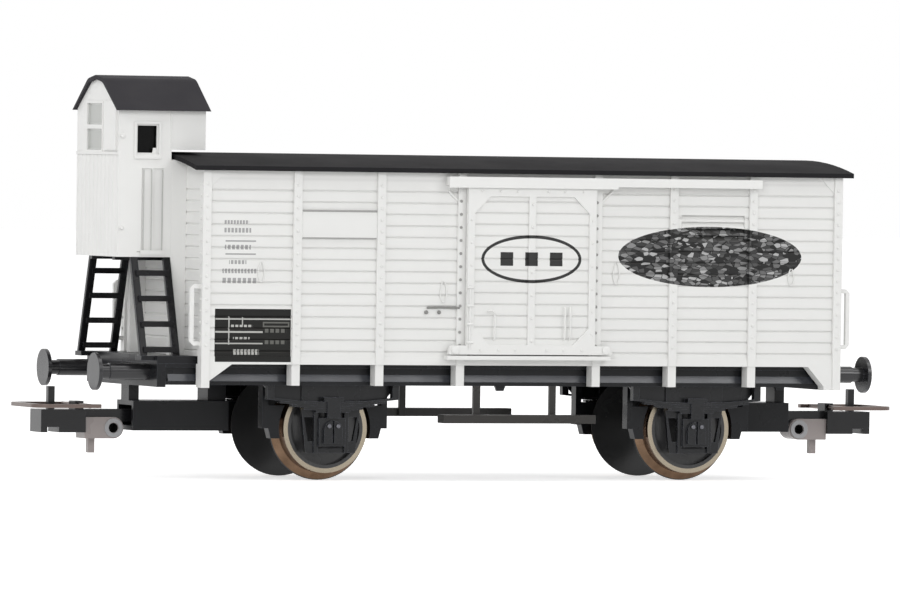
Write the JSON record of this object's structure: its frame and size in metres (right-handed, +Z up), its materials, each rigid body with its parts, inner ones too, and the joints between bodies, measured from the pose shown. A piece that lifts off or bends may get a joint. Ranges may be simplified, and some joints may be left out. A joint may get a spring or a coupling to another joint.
{
  "type": "scale model covered goods wagon",
  "caption": "Scale model of a two-axle covered railway goods wagon with sliding doors and a raised brakeman's cab at one end.",
  "frame": {"origin": "on the ground plane through the wheel flange tips, halfway between the buffer faces", "axes": "+X towards the plain end along the track, +Y across towards the far side, +Z up"},
  "size_m": [0.1224, 0.0338, 0.0528],
  "materials": {
    "body_white": "satin moulded plastic, white",
    "roof_grey": "matt moulded plastic, dark grey",
    "frame_black": "satin moulded plastic, near black",
    "floor_grey": "matt moulded plastic, dark grey",
    "glazing": "clear",
    "wheel_metal": "turned metal with a browned face",
    "axle_steel": "bright steel",
    "coupler_black": "glossy moulded plastic, black",
    "pocket_grey": "silver grey",
    "loop_metal": "bronzed spring steel"
  },
  "bodies": {
    "wagon": {"chassis_pan": "frame_black", "body_floor": "floor_grey", "roof": "roof_grey", "brake_deck": "frame_black", "cab_walls": "body_white", "cab_roof": "roof_grey", "cab_floor": "frame_black", "cab_glazing": "glazing", "headstock_brake": "frame_black", "end_wall_brake": "body_white", "end_frame_brake": "body_white", "grab_handles_brake": "body_white", "brake_blocks_brake": "frame_black", "coupler_housing_brake": "frame_black", "buffer_brake_near": "frame_black", "axle_guard_brake_near": "frame_black", "buffer_brake_far": "frame_black", "axle_guard_brake_far": "frame_black", "headstock_plain": "frame_black", "end_wall_plain": "body_white", "end_frame_plain": "body_white", "grab_handles_plain": "body_white", "brake_blocks_plain": "frame_black", "coupler_housing_plain": "frame_black", "buffer_plain_near": "frame_black", "axle_guard_plain_near": "frame_black", "buffer_plain_far": "frame_black", "axle_guard_plain_far": "frame_black", "sole_bar_near": "frame_black", "step_board_near": "frame_black", "side_wall_near": "body_white", "side_frame_near": "body_white", "door_rails_near": "body_white", "ladder_near": "frame_black", "sole_bar_far": "frame_black", "step_board_far": "frame_black", "side_wall_far": "body_white", "side_frame_far": "body_white", "door_rails_far": "body_white", "ladder_far": "frame_black"},
    "wheelset_brake": {"axle_brake": "axle_steel", "wheels_brake": "wheel_metal"},
    "coupler_brake": {"drawbar_brake": "coupler_black", "coupler_pocket_brake": "pocket_grey", "coupler_head_brake": "coupler_black"},
    "loop_brake": {"coupler_loop_brake": "loop_metal"},
    "wheelset_plain": {"axle_plain": "axle_steel", "wheels_plain": "wheel_metal"},
    "coupler_plain": {"drawbar_plain": "coupler_black", "coupler_pocket_plain": "pocket_grey", "coupler_head_plain": "coupler_black"},
    "loop_plain": {"coupler_loop_plain": "loop_metal"},
    "door_near": {"door_near": "body_white"},
    "door_far": {"door_far": "body_white"}
  },
  "joints": [
    {"name": "wheelset_brake_spin", "type": "hinge", "parent": "wagon", "child": "wheelset_brake", "pos_m": [-0.02246, 0, 0.00685], "axis": [0, 1, 0], "continuous": true},
    {"name": "wheelset_plain_spin", "type": "hinge", "parent": "wagon", "child": "wheelset_plain", "pos_m": [0.02926, 0, 0.00685], "axis": [0, 1, 0], "continuous": true},
    {"name": "door_near_slide", "type": "slide", "parent": "wagon", "child": "door_near", "axis": [1, 0, 0], "range_m": [0, 0.0185]},
    {"name": "door_far_slide", "type": "slide", "parent": "wagon", "child": "door_far", "axis": [-1, 0, 0], "range_m": [0, 0.0185]},
    {"name": "coupler_brake_swing", "type": "hinge", "parent": "wagon", "child": "coupler_brake", "pos_m": [-0.0399, 0, 0.00825], "axis": [0, 0, 1], "range_deg": [-12, 12]},
    {"name": "loop_brake_lift", "type": "hinge", "parent": "coupler_brake", "child": "loop_brake", "pos_m": [-0.0536, 0, 0.00955], "axis": [0, 1, 0], "range_deg": [0, 25]},
    {"name": "coupler_plain_swing", "type": "hinge", "parent": "wagon", "child": "coupler_plain", "pos_m": [0.0399, 0, 0.00825], "axis": [0, 0, 1], "range_deg": [-12, 12]},
    {"name": "loop_plain_lift", "type": "hinge", "parent": "coupler_plain", "child": "loop_plain", "pos_m": [0.0536, 0, 0.00955], "axis": [0, -1, 0], "range_deg": [0, 25]}
  ]
}
